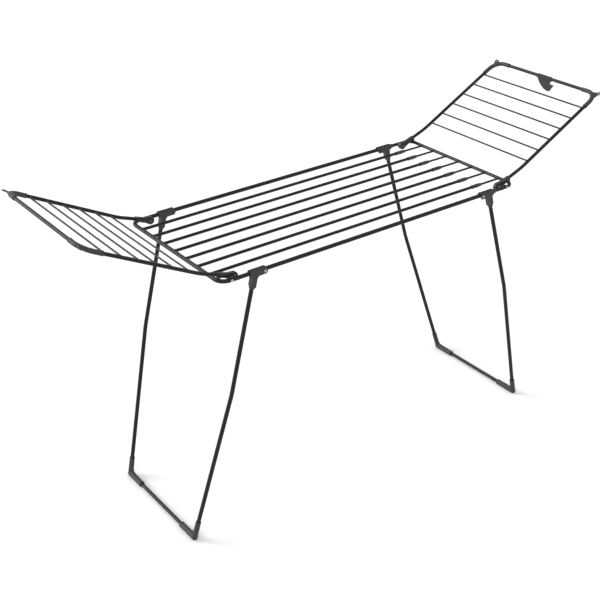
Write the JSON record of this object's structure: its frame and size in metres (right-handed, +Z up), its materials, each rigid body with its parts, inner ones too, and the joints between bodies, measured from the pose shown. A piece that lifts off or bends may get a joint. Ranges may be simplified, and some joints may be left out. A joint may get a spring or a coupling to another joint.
{
  "type": "folding clothes airer",
  "caption": "Free-standing clothes airer with two folding wings, a frame that pulls out on sliding rods, and folding kinked tube legs.",
  "frame": {"origin": "on the floor under the middle of the airer, with the sliding frame pushed in and the wings and legs open", "axes": "+X along the airer towards the sliding frame, +Y across it towards the back, +Z up"},
  "size_m": [2.0556, 0.5806, 1.1794],
  "materials": {
    "painted_tube": "satin anthracite paint on thin steel tube",
    "painted_rods": "satin anthracite paint on thin rods and tubes",
    "grey_plastic": "matte dark grey moulded plastic",
    "bare_steel": "bare zinc-plated rivets",
    "white_nylon": "natural nylon, hidden inside the tubes"
  },
  "bodies": {
    "frame": {"outer_frame_tube": "painted_tube", "hanging_tube_1": "painted_rods", "hanging_tube_2": "painted_rods", "hanging_tube_3": "painted_rods", "hanging_tube_4": "painted_rods", "hanging_tube_5": "painted_rods", "hanging_tube_6": "painted_rods", "hanging_tube_7": "painted_rods", "guide_collars": "grey_plastic", "rail_collar_front": "grey_plastic", "rail_collar_back": "grey_plastic", "saddle_left_front": "grey_plastic", "saddle_left_back": "grey_plastic", "saddle_right_front": "grey_plastic", "saddle_right_back": "grey_plastic", "leg_pivot_rivets": "bare_steel", "left_hinge_boss_front": "grey_plastic", "left_hinge_boss_back": "grey_plastic", "left_hinge_rivets": "bare_steel"},
    "slide_frame": {"slide_frame_tube": "painted_tube", "slide_rods": "painted_rods", "rod_beads": "white_nylon", "slide_glides": "white_nylon", "right_hinge_boss_front": "grey_plastic", "right_hinge_boss_back": "grey_plastic", "right_hinge_rivets": "bare_steel"},
    "left_wing": {"left_wing_tube_front": "painted_tube", "left_wing_tube_back": "painted_tube", "left_wing_end_bar": "painted_tube", "left_wing_rods": "painted_rods", "left_wing_elbow_front": "grey_plastic", "left_wing_elbow_back": "grey_plastic", "left_wing_knuckle_front": "grey_plastic", "left_wing_knuckle_back": "grey_plastic"},
    "right_wing": {"right_wing_tube_front": "painted_tube", "right_wing_tube_back": "painted_tube", "right_wing_end_bar": "painted_tube", "right_wing_rods": "painted_rods", "right_wing_elbow_front": "grey_plastic", "right_wing_elbow_back": "grey_plastic", "right_wing_knuckle_front": "grey_plastic", "right_wing_knuckle_back": "grey_plastic"},
    "lock_clip": {"lock_clip": "grey_plastic"},
    "left_leg": {"left_leg_tube_front": "painted_tube", "left_leg_tube_back": "painted_tube", "left_leg_bracket_front": "grey_plastic", "left_leg_bracket_back": "grey_plastic", "left_foot_bar": "painted_tube", "left_foot_elbow_front": "grey_plastic", "left_foot_elbow_back": "grey_plastic"},
    "right_leg": {"right_leg_tube_front": "painted_tube", "right_leg_tube_back": "painted_tube", "right_leg_bracket_front": "grey_plastic", "right_leg_bracket_back": "grey_plastic", "right_foot_bar": "painted_tube", "right_foot_elbow_front": "grey_plastic", "right_foot_elbow_back": "grey_plastic"}
  },
  "joints": [
    {"name": "slide_out", "type": "slide", "parent": "frame", "child": "slide_frame", "axis": [1, 0, 0], "range_m": [0, 0.6]},
    {"name": "left_wing_fold", "type": "hinge", "parent": "frame", "child": "left_wing", "pos_m": [-0.543, 0, 0.94], "axis": [0, 1, 0], "range_deg": [0, 152.2]},
    {"name": "right_wing_fold", "type": "hinge", "parent": "slide_frame", "child": "right_wing", "pos_m": [0.543, 0, 0.94], "axis": [0, -1, 0], "range_deg": [0, 152.2]},
    {"name": "left_leg_fold", "type": "hinge", "parent": "frame", "child": "left_leg", "pos_m": [-0.4485, 0, 0.938], "axis": [0, -1, 0], "range_deg": [0, 102.9]},
    {"name": "right_leg_fold", "type": "hinge", "parent": "frame", "child": "right_leg", "pos_m": [0.4485, 0, 0.938], "axis": [0, 1, 0], "range_deg": [0, 105.1]},
    {"name": "clip_turn", "type": "hinge", "parent": "right_wing", "child": "lock_clip", "pos_m": [1.01731, 0, 1.17118], "axis": [0, -1, 0], "range_deg": [-160, 90]}
  ]
}
